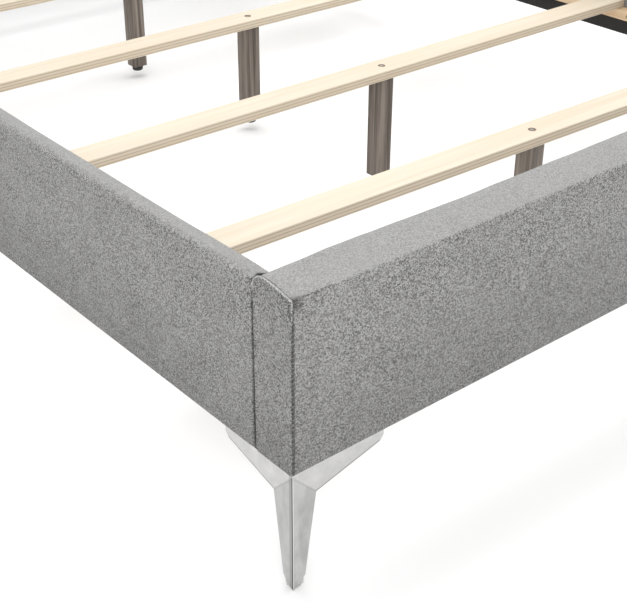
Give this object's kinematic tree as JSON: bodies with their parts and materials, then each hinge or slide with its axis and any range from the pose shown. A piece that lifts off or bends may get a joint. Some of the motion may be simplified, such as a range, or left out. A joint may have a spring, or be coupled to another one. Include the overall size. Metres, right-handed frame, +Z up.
{
  "type": "upholstered bed",
  "caption": "Queen-size bed with a low padded footboard and side rails, a channelled padded headboard, wooden slats on centre supports and chromed corner legs.",
  "frame": {"origin": "on the floor, under the middle of the bed's bounding box", "axes": "+X across the bed, +Y from the foot to the headboard, +Z up"},
  "size_m": [1.62, 2.21, 1.22],
  "materials": {
    "grey_velvet": "matte velvet",
    "dark_lining": "non-woven",
    "slat_wood": "unfinished laminated veneer",
    "stained_wood": "stained, satin",
    "frame_wood": "unfinished",
    "pine": "unfinished",
    "chrome": "polished",
    "zinc_steel": "zinc plated",
    "black_plastic": "moulded",
    "clear_plastic": "milky"
  },
  "bodies": {
    "bed_frame": {"corner_bracket_bolts": "zinc_steel", "corner_brackets": "zinc_steel", "corner_leg_foot_left": "chrome", "corner_leg_foot_right": "chrome", "corner_leg_glides": "clear_plastic", "corner_leg_head_left": "chrome", "corner_leg_head_right": "chrome", "corner_leg_plates": "chrome", "corner_leg_screws": "zinc_steel", "footboard_board": "frame_wood", "footboard_cover": "grey_velvet", "footboard_end_cap_left": "grey_velvet", "footboard_end_cap_right": "grey_velvet", "footboard_lining": "dark_lining", "headboard_border": "grey_velvet", "headboard_crossbar_bottom": "frame_wood", "headboard_crossbar_middle": "frame_wood", "headboard_crossbar_top": "frame_wood", "headboard_lining": "dark_lining", "headboard_pad": "grey_velvet", "headboard_panel": "frame_wood", "headboard_post_left": "frame_wood", "headboard_post_right": "frame_wood", "ledger_screws": "zinc_steel", "leveler_inserts": "zinc_steel", "rail_board_left": "frame_wood", "rail_board_right": "frame_wood", "rail_cover_left": "grey_velvet", "rail_cover_right": "grey_velvet", "rail_lining_left": "dark_lining", "rail_lining_right": "dark_lining", "slat_1": "slat_wood", "slat_2": "slat_wood", "slat_3": "slat_wood", "slat_4": "slat_wood", "slat_ledger_left": "pine", "slat_ledger_right": "pine", "slat_screws": "zinc_steel", "support_leg_1": "stained_wood", "support_leg_2": "stained_wood", "support_leg_3": "stained_wood", "support_leg_4": "stained_wood"},
    "leveler_pad_1": {"leveler_pad_1": "black_plastic"},
    "leveler_stud_1": {"leveler_stud_1": "zinc_steel"},
    "leveler_pad_2": {"leveler_pad_2": "black_plastic"},
    "leveler_stud_2": {"leveler_stud_2": "zinc_steel"},
    "leveler_pad_3": {"leveler_pad_3": "black_plastic"},
    "leveler_stud_3": {"leveler_stud_3": "zinc_steel"},
    "leveler_pad_4": {"leveler_pad_4": "black_plastic"},
    "leveler_stud_4": {"leveler_stud_4": "zinc_steel"}
  },
  "joints": [
    {"name": "leveler_1_travel", "type": "slide", "parent": "bed_frame", "child": "leveler_pad_1", "axis": [0, 0, -1], "range_m": [0, 0.0175]},
    {"name": "leveler_1_turn", "type": "hinge", "parent": "leveler_pad_1", "child": "leveler_stud_1", "pos_m": [0.047, -0.705, 0.04], "axis": [0, 0, 1], "range_deg": [0, 5040]},
    {"name": "leveler_2_travel", "type": "slide", "parent": "bed_frame", "child": "leveler_pad_2", "axis": [0, 0, -1], "range_m": [0, 0.0175]},
    {"name": "leveler_2_turn", "type": "hinge", "parent": "leveler_pad_2", "child": "leveler_stud_2", "pos_m": [0.062, -0.306, 0.04], "axis": [0, 0, 1], "range_deg": [0, 5040]},
    {"name": "leveler_3_travel", "type": "slide", "parent": "bed_frame", "child": "leveler_pad_3", "axis": [0, 0, -1], "range_m": [0, 0.0175]},
    {"name": "leveler_3_turn", "type": "hinge", "parent": "leveler_pad_3", "child": "leveler_stud_3", "pos_m": [0.048, 0.104, 0.04], "axis": [0, 0, 1], "range_deg": [0, 5040]},
    {"name": "leveler_4_travel", "type": "slide", "parent": "bed_frame", "child": "leveler_pad_4", "axis": [0, 0, -1], "range_m": [0, 0.0175]},
    {"name": "leveler_4_turn", "type": "hinge", "parent": "leveler_pad_4", "child": "leveler_stud_4", "pos_m": [0.035, 0.546, 0.04], "axis": [0, 0, 1], "range_deg": [0, 5040]}
  ],
  "couplings": [
    {"joint": "leveler_1_travel", "follows": "leveler_1_turn", "m_per_rad": 0.0001989},
    {"joint": "leveler_2_travel", "follows": "leveler_2_turn", "m_per_rad": 0.0001989},
    {"joint": "leveler_3_travel", "follows": "leveler_3_turn", "m_per_rad": 0.0001989},
    {"joint": "leveler_4_travel", "follows": "leveler_4_turn", "m_per_rad": 0.0001989}
  ]
}
